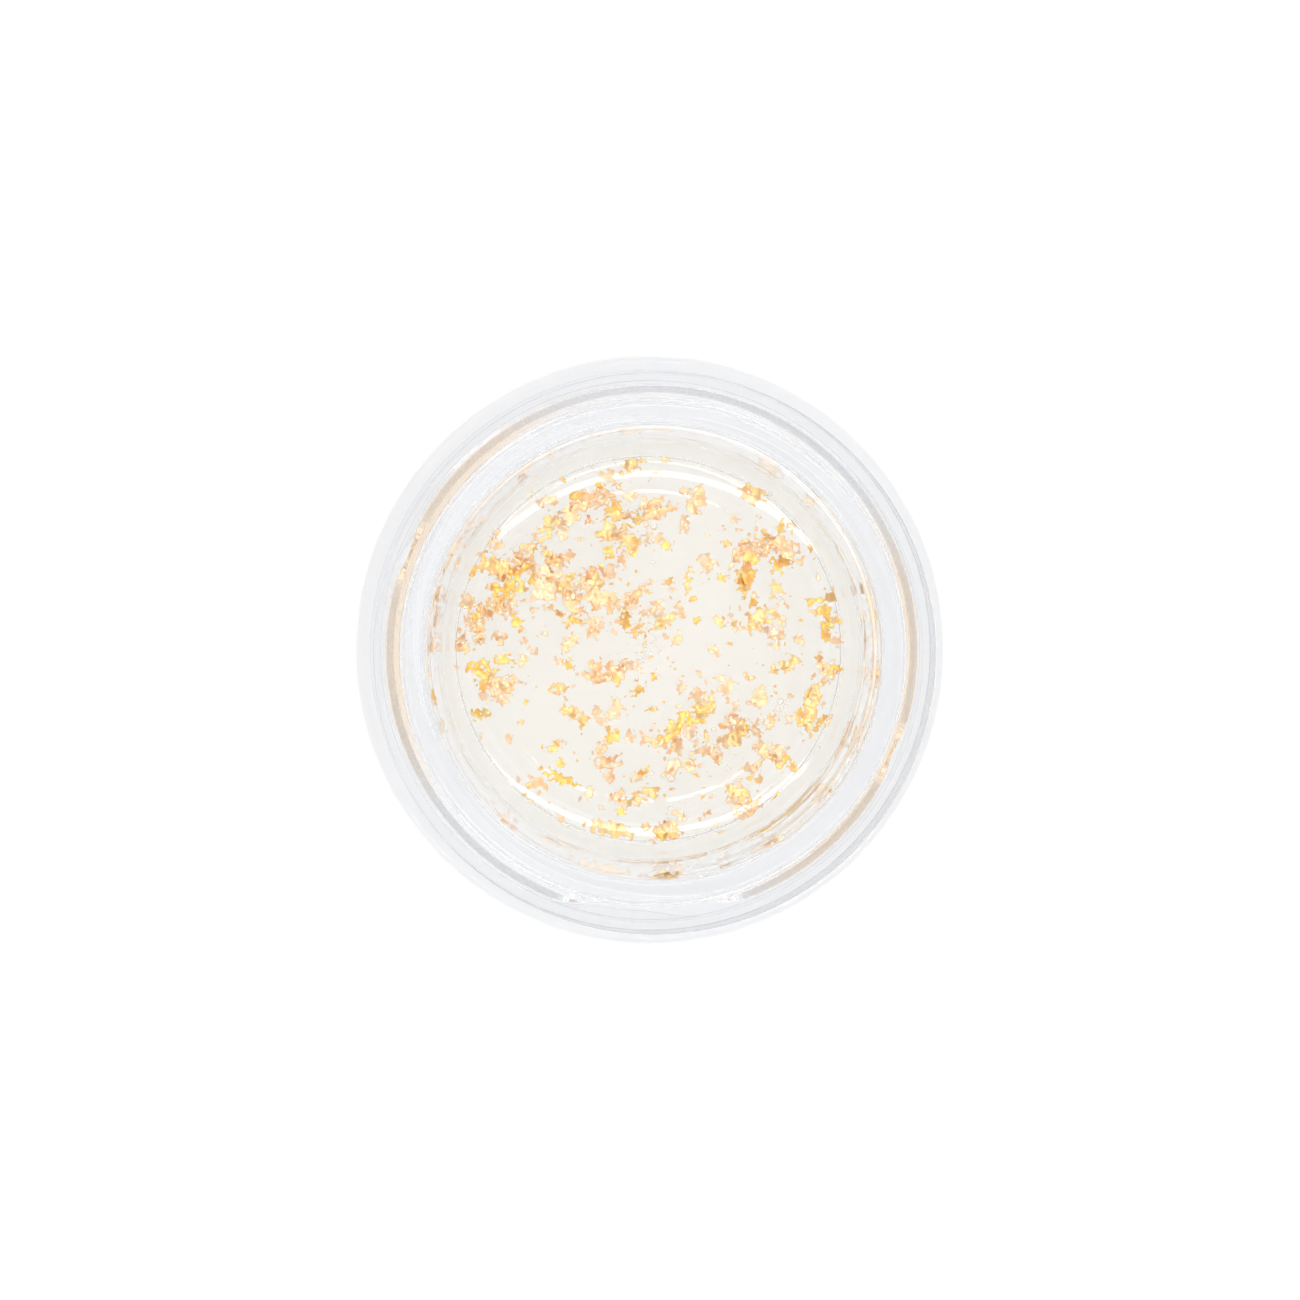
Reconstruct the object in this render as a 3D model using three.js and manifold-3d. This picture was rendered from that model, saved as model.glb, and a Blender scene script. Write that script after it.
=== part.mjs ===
// A clear gold sample vial: a thick-walled screw-neck pot of gel with gold leaf flakes in it,
// closed by a clear screw cap on a sealing ring. Millimetres, +Z up, origin at the middle of the base.
import * as THREE from "three";
import { mergeVertices } from "three/addons/utils/BufferGeometryUtils.js";
import Module from "manifold-3d";

const wasm = await Module();
wasm.setup();

const TURN = 2 * Math.PI;
const degrees = (angle) => (angle * Math.PI) / 180;

// Driving dimensions of the vial
const BODY_RADIUS = 14.5;
const SHOULDER_Z = 9.0;
const NECK_RADIUS = 12.45;
const RIM_Z = 14.2;
const MOUTH_RADIUS = 11.2;
const EDGE_ROUND = 0.35;
const BASE_RECESS = { radius: 11.6, depth: 0.45, slope: 0.5 };

// The bowl-shaped cavity and the gel in it. The wall flares from the gel line up to the mouth.
const BOWL_FLOOR_Z = 3.0;
const BOWL_FLOOR_RADIUS = 6.4;
const BOWL_WALL_RADIUS = 10.05;
const GEL_LINE = { radius: 10.1, z: 9.2 };
const BOWL_ROUND_Z = 7.0;
const GEL_TOP_Z = 9.4;
const GEL_GAP = 0.06;

// The screw thread: one turn on the neck, and three lugs inside the cap that run half a pitch below it
const PITCH = 3.0;
const THREAD = { foot: 0.62, crest: 0.26, root: 0.3 };
const THREAD_CREST_RADIUS = 13.1;
const THREAD_START = degrees(277);
const THREAD_SWEEP = degrees(345);
const THREAD_START_Z = 10.4;
const THREAD_RUN_OUT = degrees(15);

// The cap and its seal
const CAP_RADIUS = 13.8;
const CAP_BORE_RADIUS = 13.25;
const CAP_TOP_Z = 16.2;
const CAP_UNDERSIDE_Z = 15.0;
const CAP_SKIRT_Z = 9.3;
const LUG_CREST_RADIUS = 12.75;
const LUG_STARTS = [5, 125, 245].map(degrees);
const LUG_SWEEP = degrees(37.5);
const SEAL = { inner: 10.95, outer: 12.3, gap: 0.05 };

const ROUND_STEPS = 48;
const CORNER_STEPS = 3;
const THREAD_STEP = degrees(7.5);
const FLAKE_THICKNESS = 0.12;
const WELL_CLEARANCE = 0.16;

// Materials
const plastic = { transparent: true, roughness: 0.08, metalness: 0, side: THREE.DoubleSide };
const vialPlastic = new THREE.MeshStandardMaterial({ color: 0xeef2f7, opacity: 0.35, ...plastic });
const capPlastic = new THREE.MeshStandardMaterial({ color: 0xf2f5f8, opacity: 0.25, ...plastic });
const sealRubber = new THREE.MeshStandardMaterial({ color: 0xe9ecee, roughness: 0.45 });
const gel = new THREE.MeshStandardMaterial({ color: 0xf1efe9, opacity: 0.5, ...plastic });
const yellowGold = new THREE.MeshStandardMaterial({ color: 0xf2b63c, roughness: 0.3, metalness: 1 });
const roseGold = new THREE.MeshStandardMaterial({ color: 0xe9a873, roughness: 0.35, metalness: 1 });

// A closed solid of manifold-3d from a three.js geometry
function solidOf(geometry) {
  const bare = geometry.clone();
  bare.deleteAttribute("normal");
  bare.deleteAttribute("uv");
  const merged = mergeVertices(bare, 1e-4);
  return new wasm.Manifold(
    new wasm.Mesh({
      numProp: 3,
      vertProperties: new Float32Array(merged.attributes.position.array),
      triVerts: new Uint32Array(merged.index.array),
    }),
  );
}

// The three.js geometry of a manifold-3d solid
function geometryOf(solid) {
  const mesh = solid.getMesh();
  const geometry = new THREE.BufferGeometry();
  geometry.setAttribute("position", new THREE.BufferAttribute(mesh.vertProperties, 3));
  geometry.setIndex(new THREE.BufferAttribute(mesh.triVerts, 1));
  geometry.computeVertexNormals();
  return geometry;
}

// Points of a quarter round from one (radius, z) to another, about the given centre
function corner(centreR, centreZ, round, from, to) {
  const points = [];
  for (let step = 0; step <= CORNER_STEPS; step += 1) {
    const angle = degrees(from + ((to - from) * step) / CORNER_STEPS);
    points.push([centreR + round * Math.cos(angle), centreZ + round * Math.sin(angle)]);
  }
  return points;
}

// A solid turned about Z from (radius, z) points that run counter-clockwise round the material
function turned(points) {
  const profile = [...points, points[0]].map(([radius, z]) => new THREE.Vector2(radius, z));
  return new THREE.LatheGeometry(profile, ROUND_STEPS).rotateX(Math.PI / 2);
}

// The bowl's outline from its flat floor out to its wall, pulled inwards by a gap
function bowlOutline(gap) {
  const steps = 6;
  const wallRadius = BOWL_WALL_RADIUS - gap;
  const floorZ = BOWL_FLOOR_Z + gap;
  const points = [];
  for (let step = 0; step <= steps; step += 1) {
    const angle = degrees(-90 + (90 * step) / steps);
    points.push([
      BOWL_FLOOR_RADIUS + (wallRadius - BOWL_FLOOR_RADIUS) * Math.cos(angle),
      BOWL_ROUND_Z + (BOWL_ROUND_Z - floorZ) * Math.sin(angle),
    ]);
  }
  return points;
}

// A trapezoid bead on a helix about Z, tapered away at both ends. It grows outwards from the wall
// with direction 1 and inwards with direction -1.
function threadBead(wallRadius, crestRadius, start, sweep, startZ) {
  const direction = Math.sign(crestRadius - wallRadius);
  const buried = wallRadius - direction * THREAD.root;
  const count = Math.round(sweep / THREAD_STEP);
  const positions = [];
  for (let step = 0; step <= count; step += 1) {
    const along = (sweep * step) / count;
    const angle = start + along;
    const z = startZ + (PITCH * along) / TURN;
    const rise = Math.min(1, along / THREAD_RUN_OUT, (sweep - along) / THREAD_RUN_OUT);
    const crest = wallRadius + (crestRadius - wallRadius) * rise - direction * 0.05 * (1 - rise);
    const section = [
      [buried, -THREAD.foot],
      [wallRadius, -THREAD.foot],
      [crest, -THREAD.crest],
      [crest, THREAD.crest],
      [wallRadius, THREAD.foot],
      [buried, THREAD.foot],
    ];
    for (const [radius, dz] of section) {
      positions.push(radius * Math.cos(angle), radius * Math.sin(angle), z + dz);
    }
  }
  const sides = 6;
  const faces = [];
  for (let step = 0; step < count; step += 1) {
    for (let side = 0; side < sides; side += 1) {
      const a = step * sides + side;
      const b = step * sides + ((side + 1) % sides);
      faces.push(a, a + sides, b, b, a + sides, b + sides);
    }
  }
  const last = count * sides;
  for (let side = 1; side < sides - 1; side += 1) {
    faces.push(0, side, side + 1, last, last + side + 1, last + side);
  }
  if (direction < 0) {
    for (let i = 0; i < faces.length; i += 3) [faces[i], faces[i + 1]] = [faces[i + 1], faces[i]];
  }
  const geometry = new THREE.BufferGeometry();
  geometry.setAttribute("position", new THREE.Float32BufferAttribute(positions, 3));
  geometry.setIndex(faces);
  return geometry;
}

function vialBody() {
  const cupWall = bowlOutline(0).reverse();
  const blank = turned([
    [0, BASE_RECESS.depth],
    [BASE_RECESS.radius - BASE_RECESS.slope, BASE_RECESS.depth],
    [BASE_RECESS.radius, 0],
    ...corner(BODY_RADIUS - EDGE_ROUND, EDGE_ROUND, EDGE_ROUND, -90, 0),
    ...corner(BODY_RADIUS - EDGE_ROUND, SHOULDER_Z - EDGE_ROUND, EDGE_ROUND, 0, 90),
    [NECK_RADIUS, SHOULDER_Z],
    ...corner(NECK_RADIUS - EDGE_ROUND, RIM_Z - EDGE_ROUND, EDGE_ROUND, 0, 90),
    ...corner(MOUTH_RADIUS + EDGE_ROUND, RIM_Z - EDGE_ROUND, EDGE_ROUND, 90, 180),
    [GEL_LINE.radius, GEL_LINE.z],
    ...cupWall,
    [0, BOWL_FLOOR_Z],
  ]);
  const bead = threadBead(
    NECK_RADIUS,
    THREAD_CREST_RADIUS,
    THREAD_START,
    THREAD_SWEEP,
    THREAD_START_Z,
  );
  return geometryOf(solidOf(blank).add(solidOf(bead)));
}

function screwCap() {
  const blank = turned([
    [0, CAP_UNDERSIDE_Z],
    [CAP_BORE_RADIUS - 0.5, CAP_UNDERSIDE_Z],
    [CAP_BORE_RADIUS, CAP_UNDERSIDE_Z - 0.5],
    [CAP_BORE_RADIUS, CAP_SKIRT_Z],
    [CAP_RADIUS, CAP_SKIRT_Z],
    ...corner(CAP_RADIUS - EDGE_ROUND, CAP_TOP_Z - EDGE_ROUND, EDGE_ROUND, 0, 90),
    [0, CAP_TOP_Z],
  ]);
  let cap = solidOf(blank);
  for (const start of LUG_STARTS) {
    const along = (start - THREAD_START + TURN) % TURN;
    const lugZ = THREAD_START_Z - PITCH / 2 + (PITCH * along) / TURN;
    cap = cap.add(solidOf(threadBead(CAP_BORE_RADIUS, LUG_CREST_RADIUS, start, LUG_SWEEP, lugZ)));
  }
  return geometryOf(cap);
}

function sealRing() {
  const bottom = RIM_Z + SEAL.gap;
  const top = CAP_UNDERSIDE_Z - SEAL.gap;
  return turned([
    [SEAL.inner, bottom],
    [SEAL.outer, bottom],
    [SEAL.outer, top],
    [SEAL.inner, top],
  ]);
}

// The larger flakes, placed by hand. Each row is x, y, the height of the underside, the length, the width,
// the turn in degrees and the colour of the leaf.
const FLAKES = [
  [-1.0, 9.1, 8.7, 1.0, 0.8, 10, yellowGold],
  [-3.0, 7.4, 8.2, 2.0, 1.0, 25, roseGold],
  [0.0, 6.8, 7.6, 1.8, 1.1, 15, roseGold],
  [-1.8, 6.2, 8.9, 1.4, 1.2, 40, yellowGold],
  [-1.0, 5.4, 8.3, 1.1, 0.8, -20, yellowGold],
  [-5.0, 6.1, 7.9, 1.3, 0.9, 60, yellowGold],
  [-7.7, 4.2, 8.6, 1.5, 1.1, -30, yellowGold],
  [-6.7, 3.5, 7.4, 1.6, 1.2, 20, yellowGold],
  [-6.0, 4.9, 6.6, 1.5, 1.1, 50, roseGold],
  [-5.2, 3.3, 8.1, 1.7, 1.3, 70, roseGold],
  [-7.4, 2.3, 7.0, 1.6, 0.7, 10, yellowGold],
  [-2.8, 3.8, 6.2, 0.9, 0.6, 0, roseGold],
  [-3.8, 2.2, 7.2, 1.5, 1.0, 120, roseGold],
  [-2.4, 2.5, 8.5, 1.9, 1.2, 150, roseGold],
  [-0.8, 2.6, 5.6, 1.3, 0.7, 35, roseGold],
  [0.7, 1.5, 8.8, 1.4, 0.6, 30, yellowGold],
  [2.4, 7.4, 7.1, 1.2, 0.9, 80, roseGold],
  [5.1, 7.6, 8.4, 1.0, 0.9, -15, yellowGold],
  [5.2, 5.0, 7.5, 1.7, 1.0, 20, roseGold],
  [6.7, 5.1, 8.5, 1.5, 1.0, -40, roseGold],
  [4.8, 3.6, 6.4, 1.3, 0.9, 75, yellowGold],
  [1.9, 3.4, 8.9, 0.9, 0.5, 80, yellowGold],
  [5.4, 1.5, 8.0, 1.4, 1.0, 15, yellowGold],
  [6.4, 0.8, 6.9, 1.3, 0.8, 70, roseGold],
  [8.7, 1.8, 8.7, 1.5, 0.9, -50, yellowGold],
  [-2.5, -1.1, 7.8, 1.6, 1.1, 0, roseGold],
  [-1.5, -1.2, 8.9, 0.9, 0.6, 75, roseGold],
  [-3.7, -3.2, 8.4, 1.2, 0.8, -40, yellowGold],
  [-8.4, 1.0, 7.9, 0.9, 0.7, 80, roseGold],
  [-8.3, -1.0, 8.2, 1.2, 1.0, -25, yellowGold],
  [-7.3, -1.8, 7.3, 1.3, 0.9, 15, roseGold],
  [6.7, -0.7, 8.6, 1.1, 0.7, 20, yellowGold],
  [8.0, -2.9, 8.3, 2.2, 0.9, 72, yellowGold],
  [1.5, -3.6, 8.9, 2.1, 1.0, 30, yellowGold],
  [2.7, -2.8, 7.7, 1.2, 1.0, 55, yellowGold],
  [0.8, -4.6, 7.0, 1.7, 1.0, -20, roseGold],
  [1.1, -5.8, 8.3, 0.9, 0.8, 40, roseGold],
  [-2.0, -5.6, 5.9, 0.9, 0.8, 0, roseGold],
  [-4.4, -6.3, 8.7, 1.6, 0.6, -25, yellowGold],
  [-2.0, -8.9, 8.8, 1.9, 0.8, -10, yellowGold],
  [0.9, -9.0, 8.2, 0.9, 0.9, 5, yellowGold],
  [-0.5, -7.3, 6.7, 1.5, 0.7, 20, yellowGold],
  [5.2, -7.9, 7.4, 0.9, 0.7, 50, roseGold],
  [4.3, -7.1, 8.6, 1.1, 0.7, 150, yellowGold],
  [5.8, -5.0, 7.9, 1.0, 0.8, -30, roseGold],
  [4.3, -4.2, 8.7, 1.2, 0.9, 65, yellowGold],
  [9.1, -1.0, 7.6, 0.8, 0.6, 5, yellowGold],
].map(([x, y, z, length, width, turn, metal]) => ({ x, y, z, length, width, turn, metal }));

// How far each corner of a ragged flake reaches, as a share of its half length or width
const FLAKE_OUTLINE = [1, 0.8, 0.95, 0.7, 1, 0.75, 0.9];

// The outline of a flake seen from above, grown by a margin
function flakeShape(flake, margin) {
  const points = FLAKE_OUTLINE.map((reach, index) => {
    const angle = (TURN * index) / FLAKE_OUTLINE.length;
    const across = (flake.length / 2) * reach + margin;
    const up = (flake.width / 2) * reach + margin;
    return new THREE.Vector2(across * Math.cos(angle), up * Math.sin(angle))
      .rotateAround(new THREE.Vector2(), degrees(flake.turn))
      .add(new THREE.Vector2(flake.x, flake.y));
  });
  return new THREE.Shape(points);
}

function flakePlate(flake) {
  const plate = new THREE.ExtrudeGeometry(flakeShape(flake, 0), {
    depth: FLAKE_THICKNESS,
    bevelEnabled: false,
  });
  return plate.translate(0, 0, flake.z);
}

// The gel fills the bowl and stays clear of each flake in a well of its own
function gelFill() {
  const blank = turned([
    [0, BOWL_FLOOR_Z + GEL_GAP],
    ...bowlOutline(GEL_GAP),
    [BOWL_WALL_RADIUS - GEL_GAP, GEL_TOP_Z],
    [0, GEL_TOP_Z],
  ]);
  let solid = solidOf(blank);
  for (const flake of FLAKES) {
    const bottom = flake.z - WELL_CLEARANCE;
    const well = new THREE.ExtrudeGeometry(flakeShape(flake, WELL_CLEARANCE), {
      depth: GEL_TOP_Z + 1 - bottom,
      bevelEnabled: false,
    }).translate(0, 0, bottom);
    solid = solid.subtract(solidOf(well));
  }
  return geometryOf(solid);
}

function named(name, geometry, material) {
  const mesh = new THREE.Mesh(geometry, material);
  mesh.name = name;
  return mesh;
}

const vial = new THREE.Group();
vial.add(named("vial_body", vialBody(), vialPlastic));
vial.add(named("gel_fill", gelFill(), gel));
FLAKES.forEach((flake, index) => {
  const name = "gold_flake_" + String(index + 1).padStart(2, "0");
  vial.add(named(name, flakePlate(flake), flake.metal));
});
vial.add(named("seal_ring", sealRing(), sealRubber));
vial.add(named("screw_cap", screwCap(), capPlastic));

export default vial;
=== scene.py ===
"""A clear screw-neck gold sample vial with its clear cap and seal, and the gold leaf in its gel.

Everything is in metres in the frame's own axes: +Z up, origin at the middle of the base.
"""

import math

import bmesh
import bpy
import numpy as np
from mathutils import Matrix, Vector, noise


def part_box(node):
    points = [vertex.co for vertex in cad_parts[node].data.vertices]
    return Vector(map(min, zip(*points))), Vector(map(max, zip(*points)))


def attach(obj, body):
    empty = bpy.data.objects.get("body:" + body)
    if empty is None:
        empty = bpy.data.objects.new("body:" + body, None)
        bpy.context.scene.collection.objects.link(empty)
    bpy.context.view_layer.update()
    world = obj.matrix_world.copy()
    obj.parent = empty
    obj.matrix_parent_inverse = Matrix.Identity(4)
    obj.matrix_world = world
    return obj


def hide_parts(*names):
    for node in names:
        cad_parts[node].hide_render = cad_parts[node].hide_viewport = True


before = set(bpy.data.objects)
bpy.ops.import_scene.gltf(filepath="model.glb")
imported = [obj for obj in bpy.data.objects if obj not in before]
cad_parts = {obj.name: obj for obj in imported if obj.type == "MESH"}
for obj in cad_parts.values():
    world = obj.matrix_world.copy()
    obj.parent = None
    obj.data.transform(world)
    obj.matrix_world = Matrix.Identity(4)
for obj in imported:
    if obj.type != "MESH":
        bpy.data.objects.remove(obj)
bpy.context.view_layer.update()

MM = 0.001
TURN = 2 * math.pi
SEGMENTS = 360
SAME = 1e-7

# Sizes read from the frame
VIAL_LOW, VIAL_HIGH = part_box("vial_body")
CAP_LOW, CAP_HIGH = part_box("screw_cap")
SEAL_LOW, SEAL_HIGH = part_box("seal_ring")
GEL_LOW, GEL_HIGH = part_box("gel_fill")
BODY_RADIUS = VIAL_HIGH[0]
RIM_Z = VIAL_HIGH[2]
GEL_LEVEL = GEL_HIGH[2]
GEL_GAP = 0.06 * MM
FLOOR_Z = GEL_LOW[2] - GEL_GAP

# The vial's own proportions
SHOULDER_Z = 9.0 * MM
SHOULDER_FILLET = 0.25 * MM
NECK_RADIUS = 12.45 * MM
MOUTH_RADIUS = 11.2 * MM
EDGE_ROUND = 0.35 * MM
GEL_LINE_RADIUS = 10.1 * MM
GEL_LINE_Z = 9.2 * MM
WALL_RADIUS = 10.05 * MM
BOWL_FLOOR_RADIUS = 6.4 * MM
BOWL_ROUND_Z = 7.0 * MM
RECESS_Z = 0.45 * MM
RECESS_RADIUS = 11.6 * MM
RECESS_SLOPE = 0.5 * MM
RECESS_FILLET = 0.2 * MM
SMALL_ROUND = 0.12 * MM
ROW_SPACING = 0.45 * MM
TOUCH = 0.01 * MM

# The gate mark, the crinkled spot at the middle of the base where the plastic was injected
GATE_RADIUS = 1.5 * MM
GATE_RELIEF = 0.07 * MM
GATE_GRAIN = 0.22 * MM
GATE_SPACING = 0.1 * MM

# The thread on the neck and the three lugs in the cap
PITCH = 3.0 * MM
THREAD_DEPTH = 0.65 * MM
THREAD_FOOT = 0.62 * MM
THREAD_CREST = 0.26 * MM
THREAD_START = math.radians(277)
THREAD_SWEEP = math.radians(345)
THREAD_START_Z = 10.4 * MM
THREAD_RUN_OUT = math.radians(15)
THREAD_EDGE = 0.1 * MM
NECK_LOW = SHOULDER_Z + SHOULDER_FILLET
NECK_HIGH = RIM_Z - EDGE_ROUND
THREAD_ZONE_Z = SHOULDER_Z + 0.3 * MM
PARTING_ANGLES = (math.radians(158), math.radians(337))
PARTING_DIP = 0.3
PARTING_WIDTH = math.radians(5)
LUG_ROW = 0.085 * MM
LUG_STARTS = (math.radians(5), math.radians(125), math.radians(245))
LUG_SWEEP = math.radians(37.5)
LUG_DEPTH = 0.5 * MM
CAP_BORE_RADIUS = 13.25 * MM
CAP_UNDERSIDE_Z = 15.0 * MM
CAP_INNER_SLOPE = 0.5 * MM
CAP_INNER_ROUND = 0.15 * MM
CAP_SPACING = 0.4 * MM
SEAL_INNER_RADIUS = 10.95 * MM
SEAL_ROUND = 0.15 * MM

# The gel
MENISCUS_RISE = 0.6 * MM
MENISCUS_REACH = 1.25 * MM
MENISCUS_Z = GEL_LEVEL + MENISCUS_RISE
MOUTH_FLARE = (MOUTH_RADIUS - GEL_LINE_RADIUS) / (RIM_Z - GEL_LINE_Z)
MENISCUS_RADIUS = GEL_LINE_RADIUS + MOUTH_FLARE * (MENISCUS_Z - GEL_LINE_Z)
GEL_FILM = 0.006 * MM
GEL_RINGS = 90
GEL_TOP_TILT = 0.2

# The leaf: scraps of crumpled foil, the large ones where the CAD's flakes lie
FLAKE_COUNT = 47
LEAF_THICKNESS = 0.02 * MM
LEAF_CELL = 0.055 * MM
FINE_CELL = 0.045 * MM
LEAF_GROWTH = 1.42
LEAF_SLENDER = 1.1
LEAF_CRUMPLE = 0.085 * MM
LEAF_TILT = 0.11
GEL_COVER = 0.12 * MM
LEAF_REACH = 9.85 * MM
LEAF_SECOND_METAL = 0.35
TEAR_COARSE = 1.9
TEAR_FINE = 0.85
TEAR_LEVEL = 0.12
FOLD_GRAIN = 0.55 * MM
WRINKLE_GRAIN = 0.17 * MM
FINE_GROUPS = {"yellow_gold": 3, "rose_gold": 5}
FINE_SCRAPS = 80
FINE_SIZES = (0.08 * MM, 0.56 * MM)
FINE_GATHERED = 0.6
FINE_SPREAD = (1.3 * MM, 1.3 * MM, 0.3 * MM)
FINE_DEPTHS = (5.2, 9.1)
FINE_TILT = 0.22

# Air bubbles that a person would notice, as x, y and radius in millimetres
BUBBLES = [
    (-0.83, 6.74, 0.20),
    (-1.20, 6.76, 0.12),
    (-6.11, 4.74, 0.19),
    (-5.69, 5.38, 0.15),
    (-0.19, 6.17, 0.15),
    (0.17, 6.08, 0.19),
    (2.15, -4.13, 0.20),
    (1.06, -6.35, 0.18),
    (3.12, -3.91, 0.13),
    (5.68, -3.52, 0.21),
    (6.42, -2.53, 0.17),
    (6.67, -2.78, 0.13),
    (6.32, -2.93, 0.14),
    (6.81, -2.44, 0.11),
    (3.85, -5.78, 0.15),
]
STRAY_BUBBLES = 34
STRAY_SPREAD = 0.9
STRAY_SIZES = (0.05, 0.12)
BUBBLE_COVER = 0.03 * MM

# The studio
WORLD_BASE = 0.92
WORLD_RISE = 0.2
RISE_SPAN = (-0.1, 0.9)
BOX_LIGHT = 7.0
BOX_INNER = (0.25, 0.26)
BOX_OUTER = (0.32, 0.31)
BOX_ENDS = (0.42, 0.36)
BOX_ABOVE = (0.2, 0.4)
FLOOR_HALF = 1.6
FLOOR_DROP = 0.1 * MM
FLOOR_GLOW = 0.64
FLOOR_WHITE = 0.54
CAMERA_DISTANCE = 1.5
FRAME_WIDTH = 64 * MM
TILT_X, TILT_Y = math.radians(-1.9), math.radians(1.3)


def smooth(value):
    """0 below 0, 1 above 1, and an S-curve between."""
    value = np.clip(value, 0.0, 1.0)
    return value * value * (3 - 2 * value)


# ---------------------------------------------------------------- profiles and turned shapes


def rounded(corners, arc_points=8):
    """A polyline of (radius, z, rounding) corners with each rounded corner as an arc."""
    points = []
    for index, (radius, z, rounding) in enumerate(corners):
        here = np.array([radius, z])
        if not rounding:
            points.append(here)
            continue
        before = np.array(corners[index - 1][:2]) - here
        after = np.array(corners[(index + 1) % len(corners)][:2]) - here
        before /= np.linalg.norm(before)
        after /= np.linalg.norm(after)
        half = math.acos(np.clip(before @ after, -1, 1)) / 2
        reach = rounding / math.tan(half)
        middle = before + after
        centre = here + middle / np.linalg.norm(middle) * rounding / math.sin(half)
        start, end = here + before * reach - centre, here + after * reach - centre
        first = math.atan2(start[1], start[0])
        sweep = (math.atan2(end[1], end[0]) - first + math.pi) % TURN - math.pi
        for step in range(arc_points + 1):
            angle = first + sweep * step / arc_points
            points.append(centre + rounding * np.array([math.cos(angle), math.sin(angle)]))
    return points


def filled(points, spacing):
    """The same polyline with no step longer than spacing."""
    result = [points[0]]
    for start, end in zip(points, points[1:]):
        count = max(1, math.ceil(np.linalg.norm(np.subtract(end, start)) / spacing))
        result += [np.add(start, np.subtract(end, start) * k / count) for k in range(1, count + 1)]
    return result


def on_wall(profile, radius):
    """The numbers of the first and last points on the profile's upright wall of that radius."""
    numbers = [index for index, point in enumerate(profile) if abs(point[0] - radius) < SAME]
    return numbers[0], numbers[-1]


def refined(profile, radius, spacing):
    """The same profile with closer points along its upright wall of the given radius."""
    first, last = on_wall(profile, radius)
    return profile[:first] + filled([profile[first], profile[last]], spacing) + profile[last + 1 :]


def bowl(gap=0.0, steps=40):
    """The cavity's outline from the middle of its floor out to its wall, pulled in by a gap."""
    wall, floor = WALL_RADIUS - gap, FLOOR_Z + gap
    points = [(0.0, floor)]
    for step in range(steps + 1):
        angle = -math.pi / 2 * (1 - step / steps)
        across = BOWL_FLOOR_RADIUS + (wall - BOWL_FLOOR_RADIUS) * math.cos(angle)
        points.append((across, BOWL_ROUND_Z + (BOWL_ROUND_Z - floor) * math.sin(angle)))
    return points


def mesh_object(name, points, faces):
    mesh = bpy.data.meshes.new(name)
    mesh.from_pydata([tuple(point) for point in points], [], faces)
    mesh.validate()
    mesh.shade_smooth()
    piece = bpy.data.objects.new(name, mesh)
    bpy.context.scene.collection.objects.link(piece)
    return piece


def revolve(name, profile, reshape=None, closed=False):
    """A mesh turned about Z. The profile runs counter-clockwise round the material, and it starts
    and ends on the axis unless it is closed. reshape moves the points of all rings at once."""
    profile = np.array(profile)
    rings = profile if closed else profile[1:-1]
    angle = np.arange(SEGMENTS) * TURN / SEGMENTS
    theta = np.broadcast_to(angle, (len(rings), SEGMENTS))
    radius = np.repeat(rings[:, :1], SEGMENTS, axis=1)
    height = np.repeat(rings[:, 1:], SEGMENTS, axis=1)
    if reshape:
        radius, height = reshape(theta, radius, height)
    points = np.stack([radius * np.cos(theta), radius * np.sin(theta), height], axis=-1)
    points = points.reshape(-1, 3)
    here = np.arange(SEGMENTS)
    beyond = (here + 1) % SEGMENTS
    faces = []
    count = len(rings)
    for ring in range(count if closed else count - 1):
        low, high = ring * SEGMENTS, (ring + 1) % count * SEGMENTS
        faces += np.stack([low + here, low + beyond, high + beyond, high + here], axis=1).tolist()
    if not closed:
        first, last = len(points), len(points) + 1
        points = np.vstack([points, [0, 0, profile[0][1]], [0, 0, profile[-1][1]]])
        top = (count - 1) * SEGMENTS
        faces += [[first, int(b), int(a)] for a, b in zip(here, beyond)]
        faces += [[top + int(a), top + int(b), last] for a, b in zip(here, beyond)]
    piece = mesh_object(name, points, faces)
    piece.modifiers.new("flat faces stay flat", "WEIGHTED_NORMAL")
    return piece


def run_outs(along, sweep):
    """How much of a bead is left along its helix, from 0 at either end to 1."""
    return smooth(along / THREAD_RUN_OUT) * smooth((sweep - along) / THREAD_RUN_OUT)


def bead_height(theta, z, start, sweep, start_z):
    """How far a bead on the helix stands out at each point of a wall, from 0 to 1."""
    along = (theta - start) % TURN
    off_centre = np.abs(z - (start_z + PITCH * along / TURN))
    flank = smooth((THREAD_FOOT - off_centre) / (THREAD_FOOT - THREAD_CREST))
    return flank * run_outs(along, sweep)


def neck_rows():
    """The rows of points up the neck: how far each stands out, its offset from the thread's centre
    line, and its pull from that line towards the foot or the top of the neck."""
    clear_of = THREAD_FOOT + 0.7 * THREAD_EDGE
    bead = rounded(
        [
            (0, -clear_of, 0),
            (0, -THREAD_FOOT, THREAD_EDGE),
            (THREAD_DEPTH, -THREAD_CREST, THREAD_EDGE),
            (THREAD_DEPTH, THREAD_CREST, THREAD_EDGE),
            (0, THREAD_FOOT, THREAD_EDGE),
            (0, clear_of, 0),
        ],
        5,
    )
    steps = np.arange(1, 4) / 4
    below = [(0, -clear_of * share, 1 - share, 0) for share in (0, *steps)]
    above = [(0, clear_of * (1 - share), 0, share) for share in (*steps, 1)]
    return np.array(below + [(*point, 0, 0) for point in bead] + above)


def parting_relief(theta):
    """The share of the thread left where the two halves of the mould met."""
    left = np.ones_like(theta)
    for angle in PARTING_ANGLES:
        off = (theta - angle + math.pi) % TURN - math.pi
        left = left - PARTING_DIP * np.exp(-((off / PARTING_WIDTH) ** 2))
    return left


# ---------------------------------------------------------------- the plastic parts and the gel


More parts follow.
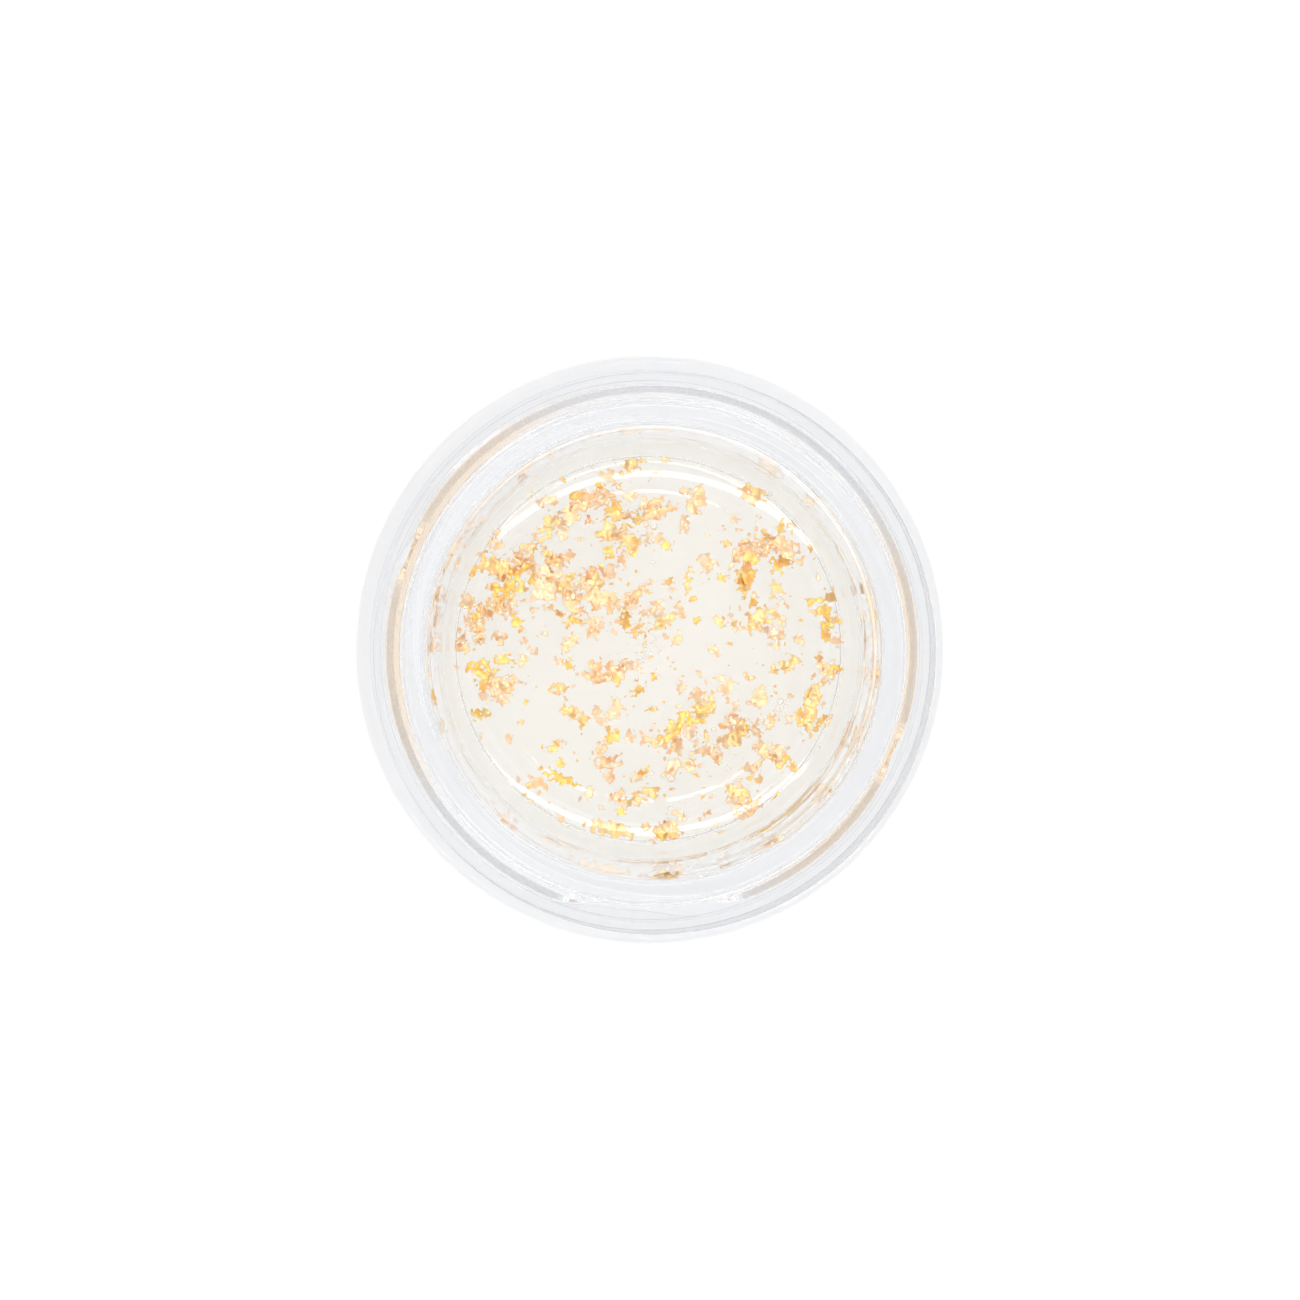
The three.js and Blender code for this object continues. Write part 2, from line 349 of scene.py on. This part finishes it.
def crinkle(radius, theta):
    """The relief of the gate mark, ridges that fade out towards its edge."""

    def height(across, angle):
        place = Vector((across * math.cos(angle), across * math.sin(angle), 0)) / GATE_GRAIN
        ridges = 1 - 2 * abs(noise.noise(place)) - abs(noise.noise(place * 2.3))
        return GATE_RELIEF * ridges * smooth((GATE_RADIUS - across) / (0.5 * GATE_RADIUS))

    return np.vectorize(height)(radius, theta)


def vial_piece():
    outside = rounded(
        [
            (0.0, RECESS_Z, 0),
            (GATE_RADIUS, RECESS_Z, 0),
            (RECESS_RADIUS - RECESS_SLOPE, RECESS_Z, RECESS_FILLET),
            (RECESS_RADIUS, 0.0, SMALL_ROUND),
            (BODY_RADIUS, 0.0, EDGE_ROUND),
            (BODY_RADIUS, SHOULDER_Z, EDGE_ROUND),
            (NECK_RADIUS, SHOULDER_Z, SHOULDER_FILLET),
            (NECK_RADIUS, RIM_Z, EDGE_ROUND),
            (MOUTH_RADIUS, RIM_Z, EDGE_ROUND),
            (MENISCUS_RADIUS, MENISCUS_Z, 0),
            (GEL_LINE_RADIUS, GEL_LINE_Z, 0),
        ]
    )
    gate = filled(outside[:2], GATE_SPACING)
    profile = gate + filled(outside[1:], ROW_SPACING)[1:] + bowl()[::-1]
    first, last = on_wall(profile, NECK_RADIUS)
    rows = neck_rows()
    profile[first : last + 1] = [(NECK_RADIUS, SHOULDER_Z)] * len(rows)
    neck = slice(first - 1, first - 1 + len(rows))

    def moulded(theta, radius, z):
        along = (theta[neck] - THREAD_START) % TURN
        climb = np.minimum(along / THREAD_SWEEP, (TURN - along) / (TURN - THREAD_SWEEP))
        centre = THREAD_START_Z + PITCH * THREAD_SWEEP / TURN * climb
        centre = np.minimum(centre, NECK_HIGH - THREAD_FOOT - THREAD_EDGE)
        out, offset, to_foot, to_top = rows.T[:, :, None]
        z[neck] = centre * (1 - to_foot - to_top) + NECK_LOW * to_foot + NECK_HIGH * to_top
        z[neck] += offset
        radius[neck] += out * run_outs(along, THREAD_SWEEP) * parting_relief(theta[neck])
        gate_rings = (z[:, 0] < RECESS_Z + SAME) & (radius[:, 0] < GATE_RADIUS)
        z[gate_rings] += crinkle(radius[gate_rings], theta[gate_rings])
        return radius, z

    return revolve("vial_shell", profile, moulded)


def cap_piece():
    outline = [
        (0.0, CAP_UNDERSIDE_Z, 0),
        (CAP_BORE_RADIUS - CAP_INNER_SLOPE, CAP_UNDERSIDE_Z, CAP_INNER_ROUND),
        (CAP_BORE_RADIUS, CAP_UNDERSIDE_Z - CAP_INNER_SLOPE, CAP_INNER_ROUND),
        (CAP_BORE_RADIUS, CAP_LOW[2], SMALL_ROUND),
        (CAP_HIGH[0], CAP_LOW[2], SMALL_ROUND),
        (CAP_HIGH[0], CAP_HIGH[2], EDGE_ROUND),
        (0.0, CAP_HIGH[2], 0),
    ]
    profile = refined(filled(rounded(outline), CAP_SPACING), CAP_BORE_RADIUS, LUG_ROW)

    def lugged(theta, radius, z):
        on_bore = np.abs(radius - CAP_BORE_RADIUS) < SAME
        lugs = np.zeros_like(radius)
        for start in LUG_STARTS:
            low = THREAD_START_Z - PITCH / 2 + PITCH * ((start - THREAD_START) % TURN) / TURN
            lugs += bead_height(theta, z, start, LUG_SWEEP, low)
        return radius - np.where(on_bore, LUG_DEPTH * lugs, 0), z

    return revolve("cap_shell", profile, lugged)


def seal_piece():
    low, high = SEAL_LOW[2], SEAL_HIGH[2]
    outline = [
        (SEAL_INNER_RADIUS, low, SEAL_ROUND),
        (SEAL_HIGH[0], low, SEAL_ROUND),
        (SEAL_HIGH[0], high, SEAL_ROUND),
        (SEAL_INNER_RADIUS, high, SEAL_ROUND),
    ]
    return revolve("seal", rounded(outline, 5), closed=True)


def gel_piece():
    """The gel a film's thickness inside the bowl, with its surface drawn up at the wall."""
    side = [point for point in bowl(GEL_FILM) if point[1] < GEL_LINE_Z]
    edge_radius = MENISCUS_RADIUS - GEL_FILM
    side += [(GEL_LINE_RADIUS - GEL_FILM, GEL_LINE_Z), (edge_radius, MENISCUS_Z)]
    surface = []
    for step in range(1, GEL_RINGS):
        inward = (step / GEL_RINGS) ** 1.6 * edge_radius
        drawn_up = MENISCUS_RISE * math.exp(-inward / MENISCUS_REACH)
        surface.append((edge_radius - inward, GEL_LEVEL + drawn_up))
    return revolve("clear_gel", side + surface + [(0.0, GEL_LEVEL)])


# ---------------------------------------------------------------- the leaf


def noise_map(u, v, grain, seed):
    """Smooth noise over a grid of points, one bump to each grain."""
    values = [noise.noise((a / grain, b / grain, seed)) for a, b in zip(u.flat, v.flat)]
    return np.array(values).reshape(u.shape)


def without_corner_joins(keep):
    """The same cells, with one more wherever two touch only at a corner."""
    for _ in range(3):
        a, b, c, d = keep[:-1, :-1], keep[:-1, 1:], keep[1:, :-1], keep[1:, 1:]
        b |= a & d & ~b & ~c
        a |= b & c & ~a & ~d
    return keep


def torn(u, v, half_long, half_wide, seed):
    """How far inside the scrap's torn outline each cell of the grid is."""
    size = min(half_long, half_wide)
    body = 1 - (u / half_long) ** 2 - (v / half_wide) ** 2
    coarse, fine = noise_map(u, v, 0.6 * size, seed), noise_map(u, v, 0.24 * size, seed + 7)
    body += TEAR_COARSE * coarse + TEAR_FINE * fine
    return (body[:-1, :-1] + body[1:, :-1] + body[:-1, 1:] + body[1:, 1:]) / 4


def eased(points, sides):
    """The same points, drawn twice halfway towards the mean of their neighbours."""
    for _ in range(2):
        total, share = np.zeros_like(points), np.zeros(len(points))
        np.add.at(total, sides[:, 0], points[sides[:, 1]])
        np.add.at(total, sides[:, 1], points[sides[:, 0]])
        np.add.at(share, sides.ravel(), 1)
        points = (points + total / share[:, None]) / 2
    return points


def thickened(points, quads, sides):
    """Points and faces of the closed, thin leaf that lies round a sheet of four-sided faces."""
    known = {tuple(side) for side in sides.tolist()}
    rim = np.array([side for side in sides.tolist() if (side[1], side[0]) not in known])
    count = len(points)
    half = np.array([0, 0, LEAF_THICKNESS / 2])
    walls = np.stack([rim[:, 1], rim[:, 0], rim[:, 0] + count, rim[:, 1] + count], axis=1)
    faces = quads.tolist() + (quads[:, ::-1] + count).tolist() + walls.tolist()
    return np.vstack([points + half, points - half]), faces


def scrap(centre, half_long, half_wide, turn, tilt, seed, cell, crumple):
    """Points and faces of one ragged, crumpled scrap of leaf, closed and a little thick."""
    across, up = (math.ceil(1.5 * half / cell) for half in (half_long, half_wide))
    grid = np.arange(-across, across + 1) * cell, np.arange(-up, up + 1) * cell
    u, v = np.meshgrid(*grid, indexing="ij")
    cells = torn(u, v, half_long, half_wide, seed)
    folds = noise_map(u, v, FOLD_GRAIN, seed + 3)
    wrinkles = noise_map(u, v, WRINKLE_GRAIN, seed + 5)
    heap = crumple * (folds + 0.5 * wrinkles)
    lift = heap + tilt[0] * u + tilt[1] * v
    x = centre[0] + u * math.cos(turn) - v * math.sin(turn)
    y = centre[1] + u * math.sin(turn) + v * math.cos(turn)
    middle = np.hypot(x, y)[:-1, :-1]
    keep = without_corner_joins((cells > TEAR_LEVEL) & (middle < LEAF_REACH))
    if not keep.any():
        return np.zeros((0, 3)), []
    number = np.arange(u.size).reshape(u.shape)
    corners = [number[:-1, :-1], number[1:, :-1], number[1:, 1:], number[:-1, 1:]]
    quads = np.stack([corner[keep] for corner in corners], axis=1)
    used, quads = np.unique(quads, return_inverse=True)
    quads = quads.reshape(-1, 4)
    z = np.minimum(centre[2] + lift, GEL_LEVEL - GEL_COVER)
    points = np.stack([x.flat, y.flat, z.flat], axis=1)[used]
    sides = np.concatenate([quads[:, [k, (k + 1) % 4]] for k in range(4)])
    return thickened(eased(points, sides), quads, sides)


def flake_place(node):
    """Where a CAD flake lies: its middle, half its length, half its width and its turn about Z."""
    low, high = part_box(node)
    points = np.array([vertex.co[:2] for vertex in bpy.data.objects[node].data.vertices])
    offset = points - points.mean(axis=0)
    directions = np.linalg.svd(offset, full_matrices=False)[2]
    along, across = directions @ offset.T
    turn = math.atan2(directions[0][1], directions[0][0])
    middle = [(low[k] + high[k]) / 2 for k in range(3)]
    return middle, np.abs(along).max(), np.abs(across).max(), turn


def leaf_pieces(metals):
    """The large scraps, one in the place of each CAD flake. Gives back where they lie."""
    rng = np.random.default_rng(4)
    places = []
    for number in range(1, FLAKE_COUNT + 1):
        node = f"gold_flake_{number:02d}"
        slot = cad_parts[node].data.materials[0].name.split(".")[0]
        middle, half_long, half_wide, turn = flake_place(node)
        halves = half_long * LEAF_GROWTH, half_wide * LEAF_SLENDER
        tilt = rng.uniform(-LEAF_TILT, LEAF_TILT, 2)
        points, faces = scrap(middle, *halves, turn, tilt, 10.3 * number, LEAF_CELL, LEAF_CRUMPLE)
        piece = mesh_object(f"leaf_{number:02d}", points, faces)
        paint(piece, metals[slot][int(rng.random() < LEAF_SECOND_METAL)])
        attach(piece, "vial")
        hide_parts(node)
        places.append(middle)
    return places


def crumb_place(rng, places):
    """Where a crumb lies: more often near a large scrap than anywhere in the gel."""
    if rng.random() < FINE_GATHERED:
        near = places[rng.integers(len(places))]
        return np.array(near) + rng.normal(0, 1, 3) * FINE_SPREAD
    across, angle = LEAF_REACH * math.sqrt(rng.random()), TURN * rng.random()
    height = rng.uniform(*FINE_DEPTHS) * MM
    return np.array([across * math.cos(angle), across * math.sin(angle), height])


def crumb(rng, places, seed):
    """Points and faces of one crumb of leaf, or none where it would lie past the gel's edge."""
    centre = crumb_place(rng, places)
    share = rng.random() ** 2.5
    half_long = FINE_SIZES[0] + (FINE_SIZES[1] - FINE_SIZES[0]) * share
    half_wide = half_long * rng.uniform(0.45, 0.95)
    turn, tilt = TURN * rng.random(), rng.uniform(-FINE_TILT, FINE_TILT, 2)
    if math.hypot(centre[0], centre[1]) > LEAF_REACH:
        return np.zeros((0, 3)), []
    return scrap(centre, half_long, half_wide, turn, tilt, seed, FINE_CELL, LEAF_CRUMPLE / 2)


def fine_leaf_pieces(metals, places):
    """The crumbs of leaf, most of them near the large scraps, gathered into a few objects."""
    rng = np.random.default_rng(11)
    for slot, pair in metals.items():
        for group in range(1, FINE_GROUPS[slot] + 1):
            all_points, all_faces, count = [], [], 0
            for index in range(FINE_SCRAPS):
                points, faces = crumb(rng, places, 3.7 * (index + 1) + 300 * group)
                all_points.append(points)
                all_faces += [[corner + count for corner in face] for face in faces]
                count += len(points)
            piece = mesh_object(f"fine_{slot}_{group}", np.vstack(all_points), all_faces)
            paint(piece, pair[group % 2])
            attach(piece, "vial")


def bubble_piece(places):
    """Small air bubbles in the top of the gel."""
    rng = np.random.default_rng(23)
    rows = [(x * MM, y * MM, radius * MM) for x, y, radius in BUBBLES]
    for _ in range(STRAY_BUBBLES):
        near = places[rng.integers(len(places))]
        x = near[0] + rng.normal(0, STRAY_SPREAD) * MM
        y = near[1] + rng.normal(0, STRAY_SPREAD) * MM
        radius = rng.uniform(*STRAY_SIZES) * MM
        if math.hypot(x, y) < LEAF_REACH:
            rows.append((x, y, radius))
    shape = bmesh.new()
    for x, y, radius in rows:
        place = Matrix.Translation((x, y, GEL_LEVEL - radius - BUBBLE_COVER))
        bmesh.ops.create_icosphere(shape, subdivisions=3, radius=radius, matrix=place)
    mesh = bpy.data.meshes.new("air_bubbles")
    shape.to_mesh(mesh)
    shape.free()
    mesh.shade_smooth()
    piece = bpy.data.objects.new("air_bubbles", mesh)
    bpy.context.scene.collection.objects.link(piece)
    return piece


# ---------------------------------------------------------------- materials

# How clear, rough and creased each material is
PLASTIC_IOR = 1.57
GEL_IOR = 1.41
VIAL_TINT = (0.955, 0.966, 0.985)
# The gel's warm tint is painted light: the warm glow of light bounced off the gold leaf, carried
# in the clear gel's colour
GEL_TINT_PAINTED_GOLD_BOUNCE = (0.98, 0.925, 0.80)
GEL_RIPPLE = 0.03
GEL_RIPPLE_GRAIN = 2.5 * MM
GEL_RIPPLE_DEPTH = 0.1 * MM
THREAD_ROUGHNESS = 0.03
# Painted reflection of the gold: the warm colour mixed into the thread plastic on two opposite
# sides, and the direction and span of that band
PAINTED_GOLD_REFLECTION = (1.0, 0.76, 0.53)
PAINTED_REFLECTION_ANGLE = math.radians(-18)
PAINTED_REFLECTION_SPAN = (0.55 * NECK_RADIUS, 0.92 * NECK_RADIUS)
THIN_ROUGHNESS = 0.06
THIN_CLOUD = 3 * MM
THIN_CLOUD_LIFT = 1.15
FACE_ON_COVER = 0.025
EDGE_STEEPNESS = 2
LEAF_ROUGHNESS = 0.28
LEAF_PATCH = 0.45 * MM
LEAF_CREASE = 0.11 * MM
LEAF_CREASE_STRENGTH = 0.45
LEAF_CREASE_DEPTH = 0.03 * MM


def material(name):
    made = bpy.data.materials.new(name)
    made.use_nodes = True
    nodes = made.node_tree.nodes
    return made, nodes, made.node_tree.links, nodes["Principled BSDF"]


def paint(piece, *materials):
    for made in materials:
        piece.data.materials.append(made)


def noise_node(nodes, links, scale, detail):
    """A noise texture in the object's own metres. Gives back the texture."""
    place = nodes.new("ShaderNodeTexCoord")
    texture = nodes.new("ShaderNodeTexNoise")
    texture.inputs["Scale"].default_value = scale
    texture.inputs["Detail"].default_value = detail
    links.new(place.outputs["Object"], texture.inputs["Vector"])
    return texture


def add_bump(nodes, links, shader, height, strength, distance):
    bump = nodes.new("ShaderNodeBump")
    bump.inputs["Strength"].default_value = strength
    bump.inputs["Distance"].default_value = distance
    links.new(height, bump.inputs["Height"])
    links.new(bump.outputs["Normal"], shader.inputs["Normal"])


def clear(name, colour, ior, roughness=0.0):
    made, nodes, links, shader = material(name)
    shader.inputs["Base Color"].default_value = (*colour, 1)
    shader.inputs["Transmission Weight"].default_value = 1
    shader.inputs["IOR"].default_value = ior
    shader.inputs["Roughness"].default_value = roughness
    return made


def rippled_gel():
    """The gel, faintly uneven on top, its colour warmed by painted light bounced off the gold."""
    made = clear("clear_gel", GEL_TINT_PAINTED_GOLD_BOUNCE, GEL_IOR)
    nodes, links = made.node_tree.nodes, made.node_tree.links
    height = noise_node(nodes, links, 1 / GEL_RIPPLE_GRAIN, 2).outputs["Fac"]
    add_bump(nodes, links, nodes["Principled BSDF"], height, GEL_RIPPLE, GEL_RIPPLE_DEPTH)
    return made


def thread_plastic_painted_reflection():
    """The neck's plastic, with a painted reflection of the gold: a warm tint put into its colour
    on two opposite sides of the neck, where the gold shows reflected in the thread.
    """
    made = clear("plastic_at_thread_painted_reflection", VIAL_TINT, PLASTIC_IOR, THREAD_ROUGHNESS)
    nodes, links = made.node_tree.nodes, made.node_tree.links
    place = nodes.new("ShaderNodeTexCoord")
    across = nodes.new("ShaderNodeVectorMath")
    across.operation = "DOT_PRODUCT"
    across.inputs[1].default_value = (math.cos(PAINTED_REFLECTION_ANGLE), math.sin(PAINTED_REFLECTION_ANGLE), 0)
    links.new(place.outputs["Object"], across.inputs[0])
    size = nodes.new("ShaderNodeMath")
    size.operation = "ABSOLUTE"
    links.new(across.outputs["Value"], size.inputs[0])
    share = nodes.new("ShaderNodeMapRange")
    share.interpolation_type = "SMOOTHSTEP"
    share.inputs["From Min"].default_value = PAINTED_REFLECTION_SPAN[0]
    share.inputs["From Max"].default_value = PAINTED_REFLECTION_SPAN[1]
    links.new(size.outputs[0], share.inputs["Value"])
    # the painted reflection of the gold, mixed into the plastic's colour by how far out along that
    # direction a point lies
    tint = nodes.new("ShaderNodeMixRGB")
    tint.inputs["Color1"].default_value = (*VIAL_TINT, 1)
    tint.inputs["Color2"].default_value = (*PAINTED_GOLD_REFLECTION, 1)
    links.new(share.outputs["Result"], tint.inputs["Fac"])
    links.new(tint.outputs["Color"], nodes["Principled BSDF"].inputs["Base Color"])
    return made


def pass_through(name):
    """The gel's side, which the vial's own inner wall stands for."""
    made, nodes, links, shader = material(name)
    nodes.remove(shader)
    open_shader = nodes.new("ShaderNodeBsdfTransparent")
    links.new(open_shader.outputs[0], nodes["Material Output"].inputs["Surface"])
    return made


def thin_clear(name, edge_colour, edge_cover):
    """Thin clear plastic: seen straight through face on, and a soft glossy grey edge on."""
    made, nodes, links, shader = material(name)
    cloud = noise_node(nodes, links, 1 / THIN_CLOUD, 3)
    tint = nodes.new("ShaderNodeMixRGB")
    tint.inputs["Color1"].default_value = (*edge_colour, 1)
    lifted = [min(1, THIN_CLOUD_LIFT * part) for part in edge_colour]
    tint.inputs["Color2"].default_value = (*lifted, 1)
    links.new(cloud.outputs["Fac"], tint.inputs["Fac"])
    links.new(tint.outputs["Color"], shader.inputs["Base Color"])
    shader.inputs["Roughness"].default_value = THIN_ROUGHNESS
    facing = nodes.new("ShaderNodeLayerWeight")
    facing.inputs["Blend"].default_value = 0.5
    steep = nodes.new("ShaderNodeMath")
    steep.operation = "POWER"
    steep.inputs[1].default_value = EDGE_STEEPNESS
    links.new(facing.outputs["Facing"], steep.inputs[0])
    cover = nodes.new("ShaderNodeMapRange")
    cover.inputs["To Min"].default_value = FACE_ON_COVER
    cover.inputs["To Max"].default_value = edge_cover
    links.new(steep.outputs[0], cover.inputs["Value"])
    open_shader = nodes.new("ShaderNodeBsdfTransparent")
    mix = nodes.new("ShaderNodeMixShader")
    links.new(cover.outputs["Result"], mix.inputs[0])
    links.new(open_shader.outputs[0], mix.inputs[1])
    links.new(shader.outputs[0], mix.inputs[2])
    links.new(mix.outputs[0], nodes["Material Output"].inputs["Surface"])
    return made


def leaf_metal(name, painted_fold_shade, body, painted_highlight):
    """Beaten gold, finely wrinkled, its colour mottled at random from a dark orange that is
    painted shade of its folds, through its body colour, to a pale yellow that is painted
    highlight.
    """
    made, nodes, links, shader = material(name)
    patches = noise_node(nodes, links, 1 / LEAF_PATCH, 5)
    ramp = nodes.new("ShaderNodeValToRGB")
    stops = ramp.color_ramp.elements
    stops[0].position, stops[0].color = 0.3, (*painted_fold_shade, 1)
    stops[1].position, stops[1].color = 0.66, (*painted_highlight, 1)
    middle = stops.new(0.46)
    middle.color = (*body, 1)
    links.new(patches.outputs["Fac"], ramp.inputs["Fac"])
    links.new(ramp.outputs["Color"], shader.inputs["Base Color"])
    shader.inputs["Metallic"].default_value = 1
    shader.inputs["Roughness"].default_value = LEAF_ROUGHNESS
    creases = noise_node(nodes, links, 1 / LEAF_CREASE, 4).outputs["Fac"]
    add_bump(nodes, links, shader, creases, LEAF_CREASE_STRENGTH, LEAF_CREASE_DEPTH)
    return made


plastic_clear = clear("clear_plastic", VIAL_TINT, PLASTIC_IOR)
plastic_wet = clear("plastic_against_gel", (1, 1, 1), PLASTIC_IOR / GEL_IOR)
plastic_thread_painted_reflection = thread_plastic_painted_reflection()
cap_clear = thin_clear("clear_cap_plastic", (0.33, 0.36, 0.41), 0.72)
cap_inside = thin_clear("clear_cap_inside", (0.55, 0.58, 0.62), 0.2)
seal_clear = thin_clear("clear_seal", (0.50, 0.51, 0.53), 0.4)
gel_clear = rippled_gel()
gel_edge = pass_through("gel_against_plastic")
air = clear("air", (1, 1, 1), GEL_IOR)
# Each leaf colour runs from a dark tone, painted fold shade, through its body tone to a light
# tone, painted highlight
METALS = {
    "yellow_gold": [
        leaf_metal("yellow_leaf", (0.98, 0.56, 0.24), (1.0, 0.66, 0.29), (1.0, 0.80, 0.44)),
        leaf_metal("vivid_leaf", (0.97, 0.48, 0.10), (1.0, 0.63, 0.15), (1.0, 0.82, 0.34)),
    ],
    "rose_gold": [
        leaf_metal("rose_leaf", (0.95, 0.50, 0.27), (1.0, 0.65, 0.38), (1.0, 0.79, 0.54)),
        leaf_metal("pale_leaf", (0.98, 0.62, 0.40), (1.0, 0.72, 0.50), (1.0, 0.83, 0.64)),
    ],
}

# ---------------------------------------------------------------- the object


def in_gel(centre):
    """Whether a face of the vial's cavity touches the gel."""
    across = math.hypot(centre.x, centre.y)
    return FLOOR_Z - TOUCH < centre.z < MENISCUS_Z and across < MENISCUS_RADIUS


def on_neck(centre):
    """Whether a face of the vial belongs to the outside of its neck, where the thread is."""
    across = math.hypot(centre.x, centre.y)
    return across > NECK_RADIUS - TOUCH and centre.z > THREAD_ZONE_Z


def in_cap(centre):
    """Whether a face of the cap belongs to its bore or its underside."""
    across = math.hypot(centre.x, centre.y)
    return across < CAP_BORE_RADIUS + TOUCH and centre.z < CAP_UNDERSIDE_Z + TOUCH


def stand_for(piece, body, node):
    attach(piece, body)
    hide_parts(node)


vial = vial_piece()
paint(vial, plastic_clear, plastic_wet, plastic_thread_painted_reflection)
for face in vial.data.polygons:
    face.material_index = 1 if in_gel(face.center) else 2 if on_neck(face.center) else 0
stand_for(vial, "vial", "vial_body")

gel = gel_piece()
paint(gel, gel_clear, gel_edge)
for face in gel.data.polygons:
    face.material_index = int(face.normal.z < GEL_TOP_TILT)
stand_for(gel, "vial", "gel_fill")

leaf_places = leaf_pieces(METALS)
fine_leaf_pieces(METALS, leaf_places)

bubbles = bubble_piece(leaf_places)
paint(bubbles, air)
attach(bubbles, "vial")

cap = cap_piece()
paint(cap, cap_clear, cap_inside)
for face in cap.data.polygons:
    face.material_index = int(in_cap(face.center))
stand_for(cap, "cap", "screw_cap")

seal = seal_piece()
paint(seal, seal_clear)
stand_for(seal, "seal", "seal_ring")

# ---------------------------------------------------------------- floor, light and camera


def world_light():
    """An even white room, brighter overhead, with a softbox on each side of the camera."""
    world = bpy.data.worlds.new("studio")
    world.use_nodes = True
    bpy.context.scene.world = world
    nodes, links = world.node_tree.nodes, world.node_tree.links
    background = nodes["Background"]
    background.inputs["Color"].default_value = (1, 1, 1, 1)
    place = nodes.new("ShaderNodeTexCoord")
    split = nodes.new("ShaderNodeSeparateXYZ")
    links.new(place.outputs["Generated"], split.inputs[0])

    def maths(operation, *values):
        node = nodes.new("ShaderNodeMath")
        node.operation = operation
        for socket, value in zip(node.inputs, values):
            if isinstance(value, (int, float)):
                socket.default_value = value
            else:
                links.new(value, socket)
        return node.outputs[0]

    def step(value, low, high):
        node = nodes.new("ShaderNodeMapRange")
        node.interpolation_type = "SMOOTHSTEP"
        links.new(value, node.inputs["Value"])
        node.inputs["From Min"].default_value = low
        node.inputs["From Max"].default_value = high
        return node.outputs["Result"]

    x, y, z = split.outputs
    sideways = maths("ABSOLUTE", y)
    box = maths("MULTIPLY", step(sideways, *BOX_INNER), step(sideways, *BOX_OUTER))
    box = maths("MULTIPLY", box, step(maths("ABSOLUTE", x), *BOX_ENDS))
    box = maths("MULTIPLY", box, step(z, *BOX_ABOVE))
    rise = maths("MULTIPLY", step(z, *RISE_SPAN), WORLD_RISE)
    base = maths("ADD", rise, WORLD_BASE)
    links.new(maths("MULTIPLY_ADD", box, BOX_LIGHT, base), background.inputs["Strength"])


def floor_piece():
    size = FLOOR_HALF
    points = [(-size, -size, 0), (size, -size, 0), (size, size, 0), (-size, size, 0)]
    floor = mesh_object("floor", points, [[0, 1, 2, 3]])
    made, nodes, links, shader = material("floor_white")
    shader.inputs["Base Color"].default_value = (FLOOR_WHITE, FLOOR_WHITE, FLOOR_WHITE, 1)
    shader.inputs["Roughness"].default_value = 0.9
    shader.inputs["Specular IOR Level"].default_value = 0
    shader.inputs["Emission Color"].default_value = (1, 1, 1, 1)
    shader.inputs["Emission Strength"].default_value = FLOOR_GLOW
    paint(floor, made)
    floor.location.z = -FLOOR_DROP


def camera():
    data = bpy.data.cameras.new("camera")
    data.lens = data.sensor_width * CAMERA_DISTANCE / FRAME_WIDTH
    eye = bpy.data.objects.new("camera", data)
    back = Vector((math.sin(TILT_X), math.sin(TILT_Y), 1)).normalized()
    eye.location = Vector((0, 0, SHOULDER_Z)) + back * CAMERA_DISTANCE
    right = Vector((0, 1, 0)).cross(back).normalized()
    eye.rotation_euler = Matrix((right, back.cross(right), back)).transposed().to_euler()
    bpy.context.scene.collection.objects.link(eye)
    bpy.context.scene.camera = eye


world_light()
floor_piece()
camera()
scene = bpy.context.scene
scene.view_settings.view_transform = "Standard"
scene.cycles.max_bounces = 32
scene.cycles.transmission_bounces = 32
scene.cycles.transparent_max_bounces = 16
